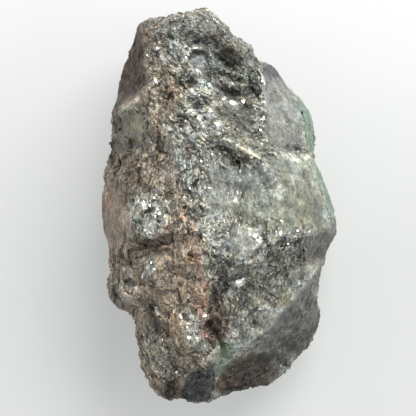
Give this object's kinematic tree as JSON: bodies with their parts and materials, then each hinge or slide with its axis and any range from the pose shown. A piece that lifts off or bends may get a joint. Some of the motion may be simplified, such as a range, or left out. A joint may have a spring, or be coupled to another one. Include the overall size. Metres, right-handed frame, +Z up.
{
  "type": "raw emerald specimen",
  "caption": "Craggy hand-sized lump of dark mica schist with green emerald crystals let into its broken face, lying on a small worn flat.",
  "frame": {"origin": "on the worn flat that the lump lies on, near its middle", "axes": "+Z up, out of the broad broken face that shows the crystals; +Y along the length to the knobbly end; +X to the long side that carries the two rim emeralds"},
  "size_m": [0.0499, 0.0824, 0.04],
  "materials": {
    "schist": "dark brown-grey mica schist, silvery flakes, fractured, with rusty and red-brown films",
    "emerald": "milky green translucent crystal, glassy on fresh breaks",
    "beryl": "cloudy olive-green beryl, glassy to greasy"
  },
  "bodies": {
    "root": {"schist_matrix": "schist", "emerald_upper_right": "emerald", "emerald_right_rim": "emerald", "emerald_lower": "emerald", "beryl_left": "beryl"}
  },
  "joints": []
}
